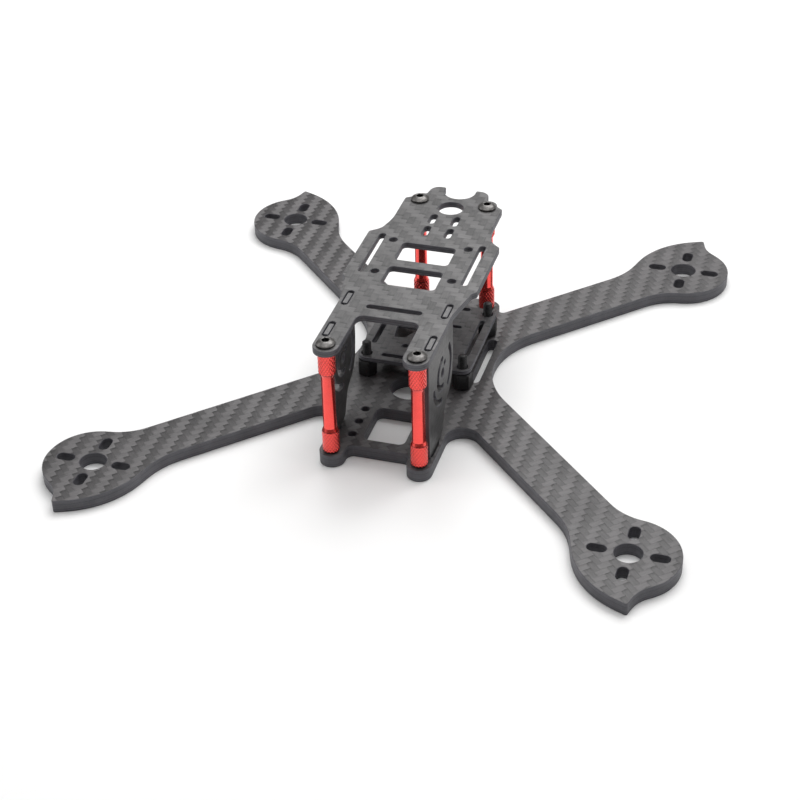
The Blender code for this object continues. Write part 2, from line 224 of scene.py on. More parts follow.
def motor_pad(mx, my, facing):
    """Corners of one arm's end, from the arm's horn side round to its other side.

    The pad is a disc about the motor with a pointed horn. Its corners are laid out for an
    arm that comes in at 45 degrees, with the horn towards -Y (facing -1) or +Y (facing 1).
    """
    edge = ARM_WIDTH / 2 * math.sqrt(2)
    first = math.radians(-84)
    last = math.radians(53)
    half = (last - first) / 4
    reach = PAD_RADIUS / math.cos(half)
    corners = [
        (-18.2, edge - 18.2, 24.0),
        (-11.8, 14.6, 26.0),
        (3.6, 20.6, 0.7),
        (5.3, 14.7, 9.5),
        (reach * math.cos(last - half), reach * math.sin(last - half), PAD_RADIUS),
        (reach * math.cos(first + half), reach * math.sin(first + half), PAD_RADIUS),
        (-4.6, -4.6 - edge, 17.0),
    ]
    placed = [(mx + u, my + facing * v, r) for u, v, r in corners]
    return placed if facing < 0 else placed[::-1]


def base_corners():
    """The base plate's right half: front lug, front arm, side scoop, rear arm, tail."""
    edge = ARM_WIDTH / 2 * math.sqrt(2)
    front_arm = FRONT_X - MOTOR_Y
    rear_arm = MOTOR_Y - REAR_X
    lug_inner = FRONT_POST[0] - 3.9
    lug_outer = FRONT_POST[0] + 3.65
    lug_tip = FRONT_POST[1] - 3.5
    lug_radius = (lug_outer - lug_inner) / 2 - 0.01
    tail_x = REAR_POST[0] + 4.1
    tail_y = REAR_POST[1] + 4.5
    waist_x = (front_arm - rear_arm) / 2 + edge
    waist_y = (front_arm + rear_arm) / 2
    return [
        (lug_inner, -47.6, 2.2),
        (lug_inner, lug_tip, lug_radius),
        (lug_outer, lug_tip, lug_radius),
        (lug_outer, front_arm - edge - lug_outer, 5.2),
        *motor_pad(FRONT_X, -MOTOR_Y, -1),
        (waist_x, waist_y, 27.0),
        *motor_pad(REAR_X, MOTOR_Y, 1),
        (tail_x, tail_x + rear_arm + edge, 1.5),
        (tail_x, tail_y, 4.0),
    ]


def base_holes():
    """Motor bores and slots, the nose window and holes, and the slots beside the stack."""
    holes = []
    for mx, my in ((FRONT_X, -MOTOR_Y), (REAR_X, MOTOR_Y)):
        reach = MOTOR_SLOT_RADIUS
        holes += both_sides(circle, mx, my, MOTOR_BORE / 2)
        for dy in (-reach, reach):
            holes += both_sides(slot, mx, my + dy, MOTOR_SLOT_WIDTH, MOTOR_SLOT_LENGTH)
        for dx in (-reach, reach):
            holes += both_sides(slot, mx + dx, my, MOTOR_SLOT_LENGTH, MOTOR_SLOT_WIDTH)
    holes.append(box(0, -35.5, 12.9, 16.4, 2.0))
    holes.append(circle(0, -14.9, 6.15))
    for y in (-42.1, -35.5, -29.0):
        holes += both_sides(circle, 10.0, y, 1.3)
    holes += both_sides(slot, 18.0, STACK_Y, 3.0, 24.5)
    holes += both_sides(slot, CAMERA_PLATE_X, BASE_TAB_Y, TAB_SLOT_WIDTH, TAB_SLOT_LENGTH)
    return holes


def top_corners():
    """The top plate's right half: camera prong, side, waist, rear corner, tail horn."""
    return [
        (9.4, -34.1, 2.4),
        (9.4, -55.1, 3.8),
        (17.1, -55.1, 3.8),
        (17.1, -27.5, 9.0),
        (19.5, -15.2, 0.9),
        (20.8, -13.8, 0.7),
        (20.8, 12.6, 0.8),
        (17.6, 15.3, 5.0),
        (15.9, 22.0, 20.0),
        (15.9, 35.6, 0.9),
        (13.9, 37.0, 1.5),
        (12.9, 39.9, 2.6),
        (10.0, 39.9, 0.5),
        (9.3, 45.2, 3.2),
        (5.0, 45.2, 0.5),
        (5.0, 38.7, 4.95),
    ]


def top_holes():
    """Windows, strap slots, tab slots and bolt holes of the top plate."""
    holes = [
        circle(0, 32.4, 4.0),
        box(0, 3.4, 16.7, 10.4, 1.4),
        box(0, -11.0, 16.7, 10.4, 1.4),
        slot(0, -29.0, 16.8, 2.1),
    ]
    for y in (17.0, 24.6):
        holes += both_sides(slot, 3.65, y, 2.1, 5.8)
    for y in (-9.7, 9.25):
        holes += both_sides(circle, 11.9, y, 1.35)
    holes += both_sides(slot, 15.9, 0.5, 2.0, 23.4)
    for y in TOP_TAB_Y:
        holes += both_sides(slot, CAMERA_PLATE_X, y, TAB_SLOT_WIDTH, TAB_SLOT_LENGTH)
    for x, y in (FRONT_POST, REAR_POST):
        holes += both_sides(circle, x, y, CLEARANCE_RADIUS)
    return holes


def stack_holes():
    """Cut-outs of the stack plate, about its own centre."""
    holes = [
        slot(0, -15.1, 21.2, 1.7),
        slot(0, 16.2, 18.8, 1.7),
        rounded([(-9.6, -4.6, 0.4), (-6.2, -4.3, 0.4), (-3.1, 2.6, 0.4), (-10.4, 2.6, 0.4)]),
    ]
    holes += both_sides(slot, 14.8, 0.8, 1.6, 20.6)
    holes.append(circle(-4.9, -8.7, 1.0))
    holes += both_sides(slot, 7.4, 5.7, 3.8, 1.4)
    for dy in (-STACK_HALF, STACK_HALF):
        holes += both_sides(circle, STACK_HALF, dy, CLEARANCE_RADIUS)
    return holes


def camera_corners():
    """The camera plate seen from the side: x is the row's Y, y is height above the base."""
    top = STANDOFF_LENGTH - GAP
    tab_top = STANDOFF_LENGTH + TOP_THICKNESS - 0.1
    tab_bottom = -BASE_THICKNESS + 0.4
    half = TAB_LENGTH / 2
    front_tab, rear_tab = TOP_TAB_Y
    return [
        (-48.4, GAP, 0.3),
        (BASE_TAB_Y - half, GAP, 0),
        (BASE_TAB_Y - half, tab_bottom, 0.3),
        (BASE_TAB_Y + half, tab_bottom, 0.3),
        (BASE_TAB_Y + half, GAP, 0),
        (-35.2, GAP, 3.0),
        (-32.0, 8.6, 5.0),
        (-24.2, 12.0, 8.5),
        (-22.8, 22.0, 12.0),
        (-22.8, top, 0.5),
        (rear_tab + half, top, 0),
        (rear_tab + half, tab_top, 0.3),
        (rear_tab - half, tab_top, 0.3),
        (rear_tab - half, top, 0),
        (front_tab + half, top, 0),
        (front_tab + half, tab_top, 0.3),
        (front_tab - half, tab_top, 0.3),
        (front_tab - half, top, 0),
        (-48.4, top, 0.5),
    ]


def arc_slot(cx, cy, radius, width, start, end):
    """A curved slot with round ends, along an arc about (cx, cy)."""
    start = math.radians(start)
    sweep = math.radians(end) - start
    half = width / 2
    outer = arc(cx, cy, radius + half, start, sweep)
    inner = arc(cx, cy, radius - half, start + sweep, -sweep)
    ends = []
    for angle, facing in ((start + sweep, start + sweep), (start, start + math.pi)):
        ex = cx + radius * math.cos(angle)
        ey = cy + radius * math.sin(angle)
        ends.append(arc(ex, ey, half, facing, math.pi)[1:-1])
    return outer + ends[0] + inner + ends[1]


def camera_holes():
    """Camera pivot, its second hole, and the three curved tilt slots about the pivot."""
    px, py = -34.3, 21.2
    return [
        circle(px, py, 1.6),
        circle(px + 2.5, py + 2.1, 1.0),
        arc_slot(px, py, 4.7, 2.0, 90, 272),
        arc_slot(px, py, 8.9, 2.0, -52, 32),
        arc_slot(px, py, 8.9, 2.0, 190, 260),
    ]


def inset(points, distance):
    """A counterclockwise loop moved inwards by a distance, or outwards if it is negative."""
    moved = []
    for i, (x, y) in enumerate(points):
        px, py = points[i - 1]
        nx, ny = points[(i + 1) % len(points)]
        heading = math.atan2(y - py, x - px)
        turn = math.remainder(math.atan2(ny - y, nx - x) - heading, math.tau)
        normal = heading + turn / 2 + math.pi / 2
        reach = distance / math.cos(turn / 2)
        moved.append((x + reach * math.cos(normal), y + reach * math.sin(normal)))
    return moved


def cut_wall(points, thickness, chamfer):
    """Level loops of a cut wall with a small chamfer at each face of the plate."""
    narrow = inset(points, chamfer)
    depth = abs(chamfer)
    levels = ((narrow, 0), (points, depth), (points, thickness - depth), (narrow, thickness))
    return [[(x, y, z) for x, y in loop] for loop, z in levels]


def ring(radius, z, x=0, y=0, sides=TURNED_SIDES):
    """Points of a level ring."""
    angles = [i * math.tau / sides for i in range(sides)]
    return [(x + radius * math.cos(a), y + radius * math.sin(a), z) for a in angles]


def hexagon(corner, z):
    """A level hexagon drawn with as many points as a ring."""
    flat = corner * math.cos(math.pi / 6)
    points = []
    for i in range(TURNED_SIDES):
        a = i * math.tau / TURNED_SIDES
        radius = flat / math.cos(math.fmod(a, math.pi / 3) - math.pi / 6)
        points.append((radius * math.cos(a), radius * math.sin(a), z))
    return points


def plate_mesh(name, outline, holes, thickness, sunk=()):
    """A cut plate with chamfered edges: material 0 on its faces and 1 on every cut wall."""
    bm = bmesh.new()
    walls = [cut_wall(outline, thickness, CHAMFER)]
    walls += [cut_wall(hole, thickness, -CHAMFER) for hole in holes]
    for x, y in sunk:
        walls.append([
            ring(SINK_RADIUS, 0, x, y),
            ring(CLEARANCE_RADIUS, SINK_RADIUS - CLEARANCE_RADIUS, x, y),
            ring(CLEARANCE_RADIUS, thickness - CHAMFER, x, y),
            ring(CLEARANCE_RADIUS + CHAMFER, thickness, x, y),
        ])
    rims = ([], [])
    for wall in walls:
        loops = [[bm.verts.new((x * MM, y * MM, z * MM)) for x, y, z in loop] for loop in wall]
        for low, high in zip(loops, loops[1:]):
            for i in range(len(low)):
                bm.faces.new((low[i - 1], low[i], high[i], high[i - 1])).material_index = 1
        for rim, loop in zip(rims, (loops[0], loops[-1])):
            rim += [bm.edges.get((loop[i - 1], loop[i])) for i in range(len(loop))]
    for rim in rims:
        bmesh.ops.triangle_fill(bm, edges=rim, use_beauty=True, use_dissolve=False)
    return finished(bm, name)


def finished(bm, name):
    """Turn every face outwards and hand the shape over as a mesh."""
    bmesh.ops.recalc_face_normals(bm, faces=bm.faces[:])
    if bm.calc_volume(signed=True) < 0:
        bmesh.ops.reverse_faces(bm, faces=bm.faces[:])
    mesh = bpy.data.meshes.new(name)
    bm.to_mesh(mesh)
    bm.free()
    return mesh


def skinned_mesh(name, loops):
    """A closed mesh through loops of equal length, capped at its first and last loop."""
    count = len(loops[0])
    points = [(x * MM, y * MM, z * MM) for loop in loops for x, y, z in loop]
    faces = []
    for row in range(len(loops) - 1):
        low = row * count
        for i in range(count):
            j = (i + 1) % count
            faces.append((low + i, low + j, low + count + j, low + count + i))
    faces.append(tuple(range(count)))
    faces.append(tuple(range(len(points) - count, len(points))))
    mesh = bpy.data.meshes.new(name)
    mesh.from_pydata(points, [], faces)
    bm = bmesh.new()
    bm.from_mesh(mesh)
    bpy.data.meshes.remove(mesh)
    return finished(bm, name)


def dome(inner, inner_height, outer, outer_height, steps):
    """Rings down a ball-shaped cap, from its inner rim to its outer rim."""
    drop = inner_height - outer_height
    centre = (outer ** 2 - inner ** 2 - drop ** 2) / (2 * drop)
    radius = math.hypot(inner, centre + drop)
    first = math.asin(inner / radius)
    last = math.atan2(outer, centre)
    angles = [first + (last - first) * i / steps for i in range(steps + 1)]
    base = outer_height - centre
    return [ring(radius * math.sin(a), base + radius * math.cos(a)) for a in angles]


def screw_mesh(name, shank):
    """A button-head screw, head up, its seat at z = 0, with a hexagon socket."""
    socket_floor = HEAD_HEIGHT - SOCKET_DEPTH
    loops = [
        ring(0.15, socket_floor - 0.22),
        hexagon(SOCKET_CORNER - 0.05, socket_floor),
        hexagon(SOCKET_CORNER, HEAD_HEIGHT - 0.1),
        ring(SOCKET_CORNER + 0.08, HEAD_HEIGHT),
    ]
    loops += dome(1.36, HEAD_HEIGHT - 0.01, HEAD_RADIUS - 0.04, 0.44, 10)
    loops += [
        ring(HEAD_RADIUS, 0.37),
        ring(HEAD_RADIUS, 0.27),
        ring(HEAD_RADIUS - 0.3, 0),
        ring(SHANK_RADIUS, 0),
        ring(SHANK_RADIUS, 0.3 - shank),
        ring(SHANK_RADIUS - 0.3, -shank),
    ]
    return skinned_mesh(name, loops)


def sunk_screw_mesh(name, shank):
    """A countersunk screw, head up, its flat face at z = 0, with a hexagon socket."""
    loops = [
        ring(0.15, -SOCKET_DEPTH - 0.2),
        hexagon(SOCKET_CORNER - 0.05, -SOCKET_DEPTH),
        hexagon(SOCKET_CORNER, -0.12),
        ring(SOCKET_CORNER + 0.12, 0),
        ring(SUNK_HEAD_RADIUS - 0.12, 0),
        ring(SUNK_HEAD_RADIUS, -0.08),
        ring(SHANK_RADIUS, -SUNK_HEAD_HEIGHT),
        ring(SHANK_RADIUS, 0.3 - shank),
        ring(SHANK_RADIUS - 0.3, -shank),
    ]
    return skinned_mesh(name, loops)


def knurled_loops():
    """Loops of a diamond-knurled grip, from the post's end up to its waist."""
    across = KNURL_STEPS
    sides = KNURL_CELLS * across
    step = KNURL_PITCH / across
    count = math.ceil(KNURL_LENGTH / step)
    loops = []
    for row in range(count + 1):
        z = min(row * step, KNURL_LENGTH)
        limit = KNURL_RADIUS - max(0.0, END_CHAMFER - z)
        shoulder = KNURL_LENGTH - z
        if shoulder < KNURL_TAPER:
            rise = (KNURL_RADIUS - WAIST_RADIUS) * shoulder / KNURL_TAPER
            limit = min(limit, WAIST_RADIUS + rise)
        loop = []
        for i in range(sides):
            left = (i / across + z / KNURL_PITCH) % 1
            right = (i / across - z / KNURL_PITCH) % 1
            peak = min(1.0, KNURL_SLOPE * min(left, 1 - left, right, 1 - right))
            radius = min(limit, KNURL_RADIUS - KNURL_DEPTH * (1 - peak))
            a = i * math.tau / sides
            loop.append((radius * math.cos(a), radius * math.sin(a), z))
        loops.append(loop)
    return loops


def standoff_mesh(name):
    """A turned post with two knurled ends, a slimmer waist and a threaded hole each end."""
    sides = KNURL_CELLS * KNURL_STEPS
    length = STANDOFF_LENGTH - 2 * GAP
    depth = GRIP_LENGTH + 0.8
    lower = [
        ring(CLEARANCE_RADIUS, depth, sides=sides),
        ring(CLEARANCE_RADIUS, 0.2, sides=sides),
        ring(CLEARANCE_RADIUS + 0.2, 0, sides=sides),
        ring(KNURL_RADIUS - END_CHAMFER - 0.05, 0, sides=sides),
    ]
    lower += knurled_loops()
    upper = [[(x, y, length - z) for x, y, z in loop] for loop in reversed(lower)]
    return skinned_mesh(name, lower + upper)


def spacer_mesh(name):
    """A moulded hexagon spacer: chamfered hexagon, threaded hole below, threaded stud above."""
    corner = SPACER_FLATS / math.sqrt(3)
    height = SPACER_LENGTH - 2 * GAP
    tip = SPACER_LENGTH + STACK_THICKNESS + STUD_LENGTH - GAP
    loops = [
        ring(CLEARANCE_RADIUS, height - 1.6),
        ring(CLEARANCE_RADIUS, 0.25),
        ring(CLEARANCE_RADIUS + 0.25, 0),
        ring(SPACER_FLATS / 2 - 0.1, 0),
        hexagon(corner, 0.3),
        hexagon(corner, height - 0.3),
        ring(SPACER_FLATS / 2 - 0.1, height),
        ring(SHANK_RADIUS - THREAD_DEPTH, height),
    ]
    step = THREAD_PITCH / 8
    first = height + 0.5
    rows = int((tip - 0.45 - first) / step)
    for row in range(rows):
        z = first + row * step
        loop = []
        for i in range(TURNED_SIDES):
            turn = i / TURNED_SIDES
            a = turn * math.tau
            phase = (z / THREAD_PITCH - turn) % 1
            radius = SHANK_RADIUS - THREAD_DEPTH * (1 - min(1.0, 2.6 * min(phase, 1 - phase)))
            loop.append((radius * math.cos(a), radius * math.sin(a), z))
        loops.append(loop)
    loops += [ring(1.14, tip - 0.36), ring(1.0, tip - 0.16), ring(0.7, tip - 0.04), ring(0.3, tip)]
    return skinned_mesh(name, loops)


class Surface:
    """A material under construction: one Principled shader and the nodes that feed it."""

    def __init__(self, name, **settings):
        """Start a material, with the settings that are even all over set on its shader."""
        self.material = bpy.data.materials.new(name)
        self.material.use_nodes = True
        self.tree = self.material.node_tree
        self.shader = self.tree.nodes["Principled BSDF"]
        for socket, value in settings.items():
            self.shader.inputs[socket.replace("_", " ")].default_value = value
        self.place = self.node("ShaderNodeTexCoord").outputs["Object"]
        axes = self.node("ShaderNodeSeparateXYZ", self.place)
        self.x, self.y, self.z = axes.outputs

    def node(self, kind, *values, **settings):
        """A new node with its settings made and its sockets fed in order."""
        made = self.tree.nodes.new(kind)
        for key, value in settings.items():
            setattr(made, key, value)
        for socket, value in zip(made.inputs, values):
            self.feed(socket, value)
        return made

    def feed(self, socket, value):
        """Link a socket to its source, or set it where the value is a plain number."""
        if isinstance(value, bpy.types.NodeSocket):
            self.tree.links.new(value, socket)
        elif value is not None:
            socket.default_value = value

    def calc(self, operation, *values):
        """The result of one math node."""
        return self.node("ShaderNodeMath", *values, operation=operation).outputs[0]

    def total(self, *values):
        """The sum of several sources or numbers."""
        result = values[0]
        for value in values[1:]:
            result = self.calc("ADD", result, value)
        return result

    def times(self, first, second):
        """One source or number multiplied by another."""
        return self.calc("MULTIPLY", first, second)

    def vector(self, x, y, z):
        """A vector from three sources or numbers."""
        return self.node("ShaderNodeCombineXYZ", x, y, z).outputs[0]

    def radius(self):
        """The distance from the piece's own upright axis."""
        return self.calc("SQRT", self.calc("ADD", self.times(self.x, self.x), self.times(self.y, self.y)))

    def noise(self, vector, scale, detail=2.0, roughness=0.5, distortion=0.0):
        """Fractal noise from 0 to 1; the scale is in features per metre."""
        made = self.node("ShaderNodeTexNoise", vector)
        made.inputs["Scale"].default_value = scale
        made.inputs["Detail"].default_value = detail
        made.inputs["Roughness"].default_value = roughness
        made.inputs["Distortion"].default_value = distortion
        return made.outputs[0]

    def span(self, value, low, high, new_low, new_high):
        """A value's range carried onto a new range and held inside it."""
        made = self.node("ShaderNodeMapRange", value, low, high, new_low, new_high)
        return made.outputs[0]

    def mix(self, factor, first, second):
        """A colour between two colours."""
        made = self.node("ShaderNodeMix", data_type="RGBA")
        self.feed(made.inputs[0], factor)
        self.feed(made.inputs[6], first)
        self.feed(made.inputs[7], second)
        return made.outputs[2]

    def shade(self, colour, factor):
        """A colour made lighter or darker by a factor."""
        grey = self.vector(factor, factor, factor)
        made = self.node("ShaderNodeMix", data_type="RGBA", blend_type="MULTIPLY")
        made.inputs[0].default_value = 1.0
        self.feed(made.inputs[6], colour)
        self.feed(made.inputs[7], grey)
        return made.outputs[2]

    def finish(self, colour, roughness, height, distance):
        """Connect colour, roughness and relief, with the relief's depth in metres."""
        self.feed(self.shader.inputs["Base Color"], colour)
        self.feed(self.shader.inputs["Roughness"], roughness)
        bump = self.node("ShaderNodeBump")
        bump.inputs["Distance"].default_value = distance
        self.feed(bump.inputs["Height"], height)
        self.feed(self.shader.inputs["Normal"], bump.outputs[0])
        return self.material


def weave_material(name, pitch, diagonal, shift, tows, uneven, relief, **settings):
    """A 2x2 twill of flat carbon tows in clear resin.

    Every float passes over two tows. Fine filaments run along it, its sides and ends sink
    into the resin, and no two floats are quite the same grey. Warp floats are painted lighter
    than weft floats as a painted sheen, each float is painted darker towards its sinking sides
    and ends as painted shade, and each weft float has a painted shadow at its starting end.
    The shift, in tows, says where the plate was cut out of the cloth.
    """
    s = Surface(name, **settings)
    drifted = []
    for axis, seed in ((s.x, 0.0), (s.y, 3.0)):
        spot = s.node("ShaderNodeVectorMath", s.place, (seed, seed, seed), operation="ADD")
        drift = s.times(s.calc("SUBTRACT", s.noise(spot.outputs[0], 140.0), 0.5), 0.22 * pitch * MM)
        fray = s.times(s.calc("SUBTRACT", s.noise(spot.outputs[0], 1500.0, 3.0), 0.5), 0.3 * pitch * MM)
        drifted.append(s.total(axis, drift, fray))
    x, y = drifted
    scale = 1 / (pitch * MM)
    if diagonal:
        scale /= math.sqrt(2)
        x, y = s.calc("ADD", x, y), s.calc("SUBTRACT", x, y)
    u = s.calc("SUBTRACT", s.times(x, scale), shift[0])
    v = s.calc("SUBTRACT", s.times(y, scale), shift[1])
    column = s.calc("FLOOR", u)
    row = s.calc("FLOOR", v)
    step = s.calc("FLOORED_MODULO", s.calc("ADD", column, row), 4.0)
    weft = s.calc("LESS_THAN", step, 1.5)

    def choose(warp_value, weft_value):
        """One value where a warp tow is on top and another where a weft tow is."""
        made = s.node("ShaderNodeMix", weft, data_type="FLOAT")
        s.feed(made.inputs[2], warp_value)
        s.feed(made.inputs[3], weft_value)
        return made.outputs[0]

    travel = choose(s.total(u, row, 2.0), s.calc("ADD", v, column))
    along = s.calc("FLOORED_MODULO", travel, 4.0)
    side = s.calc("FRACT", choose(v, u))
    identity = s.vector(choose(row, column), s.calc("FLOOR", s.times(travel, 0.25)), weft)
    chance = s.node("ShaderNodeTexWhiteNoise", identity, noise_dimensions="3D").outputs[0]
    from_middle = s.calc("ABSOLUTE", s.calc("SUBTRACT", along, 1.0))
    from_crown = s.calc("ABSOLUTE", s.calc("SUBTRACT", s.times(side, 2.0), 1.0))
    ends = s.calc("SUBTRACT", 1.0, s.calc("POWER", from_middle, 4.0))
    sides = s.calc("SUBTRACT", 1.0, s.calc("POWER", from_crown, 4.0))
    height = s.calc("SQRT", s.calc("MAXIMUM", s.times(ends, sides), 0.0))
    filament = s.vector(s.times(along, 0.7), s.times(side, 6.0), s.times(chance, 50.0))
    fibres = s.noise(filament, 1.0, 4.0, 0.65)
    patches = s.noise(s.place, 70.0, 4.0, 0.6)
    # Painted shadow: weft floats darker at their starting end, where they dip under the warp
    painted_dip_shade = s.times(s.times(s.span(along, 0.0, 0.5, 1.0, 0.0), weft), s.span(chance, 0.0, 1.0, -0.2, -0.65))

    forward = 1.0 if diagonal else 0.0
    grain = s.node("ShaderNodeMix", weft, data_type="VECTOR")
    s.feed(grain.inputs[4], s.vector(forward, -1.0, 0.0))
    s.feed(grain.inputs[5], s.vector(1.0, forward, 0.0))
    turned = s.node(
        "ShaderNodeVectorTransform", grain.outputs[1], vector_type="VECTOR",
        convert_from="OBJECT", convert_to="WORLD",
    )
    s.feed(s.shader.inputs["Tangent"], turned.outputs[0])

    # Painted shade: each float is darkened where its height falls away at its sides and ends
    factor = s.total(
        s.span(height, 0.0, 0.8, 0.84, 1.02),
        s.span(fibres, 0.3, 0.7, -0.17, 0.17),
        s.span(chance, 0.0, 1.0, -uneven, uneven),
        s.span(patches, 0.3, 0.7, -uneven, uneven),
        painted_dip_shade,
    )
    # Painted sheen: the warp floats take the lit tone and the weft floats the shaded tone of one tow
    colour = s.shade(s.mix(weft, *tows), factor)
    roughness = s.total(
        s.span(fibres, 0.3, 0.7, 0.5, 0.42),
        s.span(chance, 0.0, 1.0, -0.03, 0.03),
        s.span(patches, 0.3, 0.7, 0.04, -0.04),
    )
    pores = s.noise(s.place, 5200.0, 2.0, 0.7)
    relief_height = s.total(height, s.times(fibres, 0.35), s.times(pores, 0.12))
    return s.finish(colour, roughness, relief_height, relief * MM)


def cut_edge_material(name):
    """A routed carbon edge: thin plies, broken and smeared along the cut, with a mottled painted
    highlight on faces that look up.
    """
    s = Surface(name, Specular_IOR_Level=0.5)
    wander = s.times(s.calc("SUBTRACT", s.noise(s.place, 260.0, 3.0), 0.5), 0.35)
    level = s.calc("ADD", s.times(s.z, 1 / (PLY * MM)), wander)
    layer = s.calc("FLOOR", level)
    seam = s.calc("ABSOLUTE", s.calc("SUBTRACT", s.calc("FRACT", level), 0.5))
    line = s.span(seam, 0.3, 0.5, 1.0, 0.0)
    ply_tone = s.node("ShaderNodeTexWhiteNoise", noise_dimensions="1D")
    s.feed(ply_tone.inputs["W"], layer)
    grain = s.noise(s.vector(s.x, s.y, s.times(s.z, 9.0)), 1400.0, 4.0, 0.7)
    blotches = s.noise(s.place, 190.0, 3.0)
    amount = s.total(
        s.times(ply_tone.outputs[0], 0.45),
        s.times(line, 0.2),
        s.span(grain, 0.25, 0.75, -0.2, 0.35),
        s.span(blotches, 0.3, 0.7, -0.15, 0.15),
    )
    # Painted highlight: faces that look up are laid paler in mottled patches, as if lit from above
    facing = s.node("ShaderNodeSeparateXYZ", s.node("ShaderNodeNewGeometry").outputs["Normal"])
    upward = s.span(facing.outputs[2], 0.8, 0.95, 0.0, 1.0)
    painted_highlight = s.times(upward, s.span(s.noise(s.place, 1500.0, 3.0, 0.6), 0.35, 0.65, 0.35, 1.0))
    colour = s.mix(s.span(amount, 0.0, 1.0, 0.0, 1.0), *EDGE_PLIES)
    colour = s.mix(painted_highlight, colour, EDGE_PAINTED_HIGHLIGHT)
    roughness = s.span(grain, 0.25, 0.75, 0.42, 0.6)
    height = s.total(s.times(line, 0.6), grain)
    return s.finish(colour, roughness, height, 0.02 * MM)


def anodised_material(name):
    """Red dyed aluminium: lathe lines round the post, a sealed gloss and a patchy dye.

    The knurl's grooves are painted darker as painted shade; they are told from the waist by height.
    """
    s = Surface(name, Metallic=0.85, Coat_Weight=0.45, Coat_Roughness=0.05)
    lathe = s.noise(s.vector(s.times(s.x, 0.02), s.times(s.y, 0.02), s.z), 9000.0, 3.0, 0.7)
    dye = s.noise(s.place, 420.0, 3.0)
    grit = s.noise(s.place, 6000.0, 2.0)
    half = STANDOFF_LENGTH / 2 - GAP
    waist = (half - KNURL_LENGTH + KNURL_TAPER) * MM
    from_middle = s.calc("ABSOLUTE", s.calc("SUBTRACT", s.z, half * MM))
    deepest = (KNURL_RADIUS - KNURL_DEPTH) * MM
    # Painted shade in the grooves of the knurl
    painted_groove_shade = s.times(
        s.calc("GREATER_THAN", from_middle, waist - 0.5 * MM),
        s.span(s.radius(), deepest, deepest + 0.05 * MM, -0.85, 0.0),
    )
    factor = s.total(
        1.0,
        painted_groove_shade,
        s.span(lathe, 0.3, 0.7, -0.06, 0.06),
        s.span(dye, 0.3, 0.7, -0.07, 0.07),
    )
    colour = s.shade(RED_DYE, factor)
    roughness = s.total(
        s.span(lathe, 0.3, 0.7, 0.13, 0.19),
        s.span(dye, 0.3, 0.7, -0.02, 0.02),
    )
    height = s.total(lathe, s.times(grit, 0.4))
    return s.finish(colour, roughness, height, 0.006 * MM)


def oxide_material(name):
    """Black oxide on steel: a thin uneven skin, rubbed greyer in patches, with painted shade making the
    socket near-black.
    """
    s = Surface(name, Metallic=0.6)
    patches = s.noise(s.place, 900.0, 4.0, 0.65)
    fine = s.noise(s.place, 7000.0, 3.0)
    rubbed = s.span(patches, 0.45, 0.75, 0.0, 1.0)
    # Painted shade: the hexagon socket is laid near-black inside this radius
    outside = s.span(s.radius(), SOCKET_FLATS / 2 * MM, (SOCKET_FLATS / 2 + 0.22) * MM, 0.0, 1.0)
    colour = s.mix(outside, SOCKET_PAINTED_SHADE, s.mix(rubbed, *OXIDE))
    roughness = s.total(s.span(patches, 0.3, 0.7, 0.38, 0.28), s.span(fine, 0.3, 0.7, -0.04, 0.04))
    return s.finish(colour, roughness, fine, 0.006 * MM)


def nylon_material(name):
    """Moulded black nylon: a soft sheen over a fine orange-peel texture, paler where scuffed."""
    s = Surface(name, Specular_IOR_Level=0.45)
    peel = s.noise(s.place, 2600.0, 3.0, 0.55)
    scuffs = s.noise(s.vector(s.x, s.y, s.times(s.z, 3.0)), 700.0, 4.0, 0.7)
    worn = s.span(scuffs, 0.52, 0.78, 0.0, 1.0)
    colour = s.mix(worn, *NYLON)
    roughness = s.total(s.span(peel, 0.3, 0.7, 0.42, 0.5), s.times(worn, 0.1))
    return s.finish(colour, roughness, peel, 0.012 * MM)


def floor_material(name):
    """Plain matt white, fading into the backdrop far from the object."""
    s = Surface(name, Specular_IOR_Level=0.1)
    mottle = s.noise(s.place, 30.0, 3.0)
    colour = s.mix(mottle, *FLOOR_WHITES)
    s.feed(s.shader.inputs["Alpha"], s.span(s.radius(), *FLOOR_FADE, 1.0, 0.0))
    return s.finish(colour, 0.8, mottle, 0.01 * MM)


def place(name, mesh, materials, matrix, node):
    """Add one piece in its materials, standing for its CAD node and riding on the frame."""
    mesh = mesh.copy()
    mesh.name = name
    for mat in materials:
        mesh.materials.append(mat)
    mesh.shade_smooth()
    mesh.set_sharp_from_angle(angle=SHARP_ANGLE)
    piece = bpy.data.objects.new(name, mesh)
    bpy.context.scene.collection.objects.link(piece)
    piece.matrix_world = matrix
    bpy.context.view_layer.update()
    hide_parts(node)
    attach(piece, "root")


def at(x, y, z):
    """A shift in millimetres."""
    return Matrix.Translation((x * MM, y * MM, z * MM))


def corners_of(front, rear):
    """The four fixing points, named by where they are."""
    return [
        ("front_left", -front[0], front[1]), ("front_right", *front),
        ("rear_left", -rear[0], rear[1]), ("rear_right", *rear),
    ]


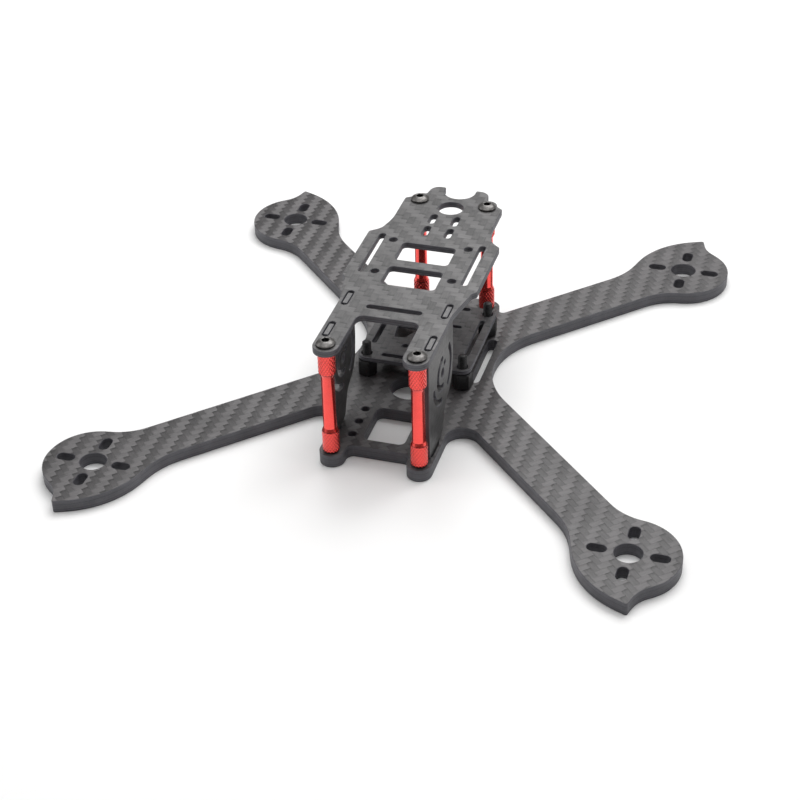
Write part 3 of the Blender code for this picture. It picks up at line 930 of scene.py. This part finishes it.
def build_plates():
    """The five carbon plates."""
    fixings = corners_of(FRONT_POST, REAR_POST) + corners_of(*STACK_CORNERS)
    sunk = [(x, y) for _, x, y in fixings]
    base_weave = weave_material(
        "base_twill", 1.98, True, (1.38, -0.17), BASE_TOWS_LIT_AND_SHADED, 0.15, 0.06,
        Specular_IOR_Level=0.58, Anisotropic=0.6,
    )
    top_weave = weave_material(
        "top_twill", 2.2, False, (0.0, 0.0), TOP_TOWS_LIT_AND_SHADED, 0.22, 0.04,
        Specular_IOR_Level=0.58, Anisotropic=0.4,
    )
    stack_weave = weave_material(
        "stack_twill", 2.0, False, (0.0, 0.0), STACK_TOWS_LIT_AND_SHADED, 0.12, 0.015, Specular_IOR_Level=0.4,
    )
    side_weave = weave_material(
        "side_twill", 2.0, False, (0.0, 0.0), SIDE_TOWS_LIT_AND_SHADED, 0.15, 0.02, Specular_IOR_Level=0.7,
    )
    edge = cut_edge_material("carbon_edge")
    outline = rounded(mirrored(base_corners()))
    base = plate_mesh("base", outline, base_holes(), BASE_THICKNESS, sunk)
    place("base_laminate", base, [base_weave, edge], at(0, 0, 0), "base_plate")
    outline = rounded(mirrored(top_corners()))
    top = plate_mesh("top", outline, top_holes(), TOP_THICKNESS)
    place("top_laminate", top, [top_weave, edge], at(0, 0, TOP_BOTTOM), "top_plate")
    side = STACK_PITCH + 5.5
    stack = plate_mesh("stack", box(0, 0, side, side, 3.0), stack_holes(), STACK_THICKNESS)
    place(
        "stack_laminate", stack, [stack_weave, edge], at(0, STACK_Y, STACK_BOTTOM),
        "stack_plate",
    )
    camera = plate_mesh("camera", rounded(camera_corners()), camera_holes(), CAMERA_THICKNESS)
    upright = Matrix(((0, 0, 1, 0), (1, 0, 0, 0), (0, 1, 0, 0), (0, 0, 0, 1)))
    for where, x in (("left", -CAMERA_PLATE_X), ("right", CAMERA_PLATE_X)):
        place(
            "camera_laminate_" + where, camera, [side_weave, edge],
            at(x - CAMERA_THICKNESS / 2, 0, BASE_TOP) @ upright,
            "camera_plate_" + where,
        )


def build_posts():
    """The posts and spacers with their screws."""
    flip = Matrix.Rotation(math.pi, 4, "X")
    red = anodised_material("red_anodised")
    steel = oxide_material("black_oxide")
    nylon = nylon_material("moulded_nylon")
    standoff = standoff_mesh("post")
    top_screw = screw_mesh("button", TOP_THICKNESS + GRIP_LENGTH)
    base_screw = sunk_screw_mesh("sunk", BASE_THICKNESS + GRIP_LENGTH)
    for where, x, y in corners_of(FRONT_POST, REAR_POST):
        place(
            "knurled_post_" + where, standoff, [red], at(x, y, BASE_TOP + GAP),
            "standoff_" + where,
        )
        place(
            "button_screw_" + where, top_screw, [steel], at(x, y, TOP_TOP + HEAD_SEAT),
            "top_screw_" + where,
        )
        place(
            "sunk_screw_" + where, base_screw, [steel], at(x, y, SUNK_RECESS) @ flip,
            "base_screw_" + where,
        )
    spacer = spacer_mesh("spacer")
    stack_screw = sunk_screw_mesh("short_sunk", BASE_THICKNESS + SHORT_GRIP_LENGTH)
    for (where, x, y), angle in zip(corners_of(*STACK_CORNERS), SPACER_ANGLES):
        turned = Matrix.Rotation(math.radians(angle), 4, "Z")
        place(
            "hex_spacer_" + where, spacer, [nylon], at(x, y, BASE_TOP + GAP) @ turned,
            "stack_spacer_" + where,
        )
        place(
            "short_screw_" + where, stack_screw, [steel], at(x, y, SUNK_RECESS) @ flip,
            "stack_screw_" + where,
        )


def build_camera():
    """A long lens looking down on the frame from its front right."""
    az = CAMERA_AZIMUTH
    el = CAMERA_ELEVATION
    ahead = Vector((-math.sin(az) * math.cos(el), math.cos(az) * math.cos(el), -math.sin(el)))
    level = Vector((math.cos(az), math.sin(az), 0))
    upward = level.cross(ahead)
    right = math.cos(CAMERA_ROLL) * level + math.sin(CAMERA_ROLL) * upward
    up = right.cross(ahead)
    spot = CAMERA_TARGET - CAMERA_DISTANCE * ahead
    data = bpy.data.cameras.new("view")
    data.sensor_width = 36.0
    data.lens = CAMERA_LENS
    data.clip_start = 0.01
    data.clip_end = 50.0
    camera = bpy.data.objects.new("view", data)
    rows = [(right[i], up[i], -ahead[i], spot[i]) for i in range(3)]
    camera.matrix_world = Matrix((*rows, (0, 0, 0, 1)))
    bpy.context.scene.collection.objects.link(camera)
    bpy.context.scene.camera = camera


def build_studio():
    """A white floor and backdrop, two large soft lights overhead and behind, two at the sides.

    The backdrop is white only to the eye: as a light it is a dim sky.
    """
    scene = bpy.context.scene
    mesh = bpy.data.meshes.new("floor")
    corners = [(x * FLOOR_REACH, y * FLOOR_REACH, 0) for x, y in ((-1, -1), (1, -1), (1, 1), (-1, 1))]
    mesh.from_pydata(corners, [], [(0, 1, 2, 3)])
    mesh.materials.append(floor_material("white_floor"))
    floor = bpy.data.objects.new("floor", mesh)
    floor.location.z = -0.03 * MM
    scene.collection.objects.link(floor)
    world = bpy.data.worlds.new("studio")
    world.use_nodes = True
    tree = world.node_tree
    sky = tree.nodes["Background"]
    sky.inputs["Color"].default_value = (1.0, 1.0, 1.0, 1.0)
    path = tree.nodes.new("ShaderNodeLightPath")
    seen = tree.nodes.new("ShaderNodeMapRange")
    seen.inputs["To Min"].default_value = SKY_STRENGTH
    seen.inputs["To Max"].default_value = BACKDROP_STRENGTH
    tree.links.new(path.outputs["Is Camera Ray"], seen.inputs["Value"])
    tree.links.new(seen.outputs[0], sky.inputs["Strength"])
    scene.world = world
    for name, spot, size, power in SOFTBOXES:
        light = bpy.data.lights.new(name, "AREA")
        light.shape = "RECTANGLE"
        light.size, light.size_y = size
        light.energy = power
        lamp = bpy.data.objects.new(name, light)
        lamp.location = spot
        lamp.rotation_euler = (-spot).to_track_quat("-Z", "Y").to_euler()
        scene.collection.objects.link(lamp)
    scene.view_settings.view_transform = "Standard"


build_camera()
build_plates()
build_posts()
build_studio()
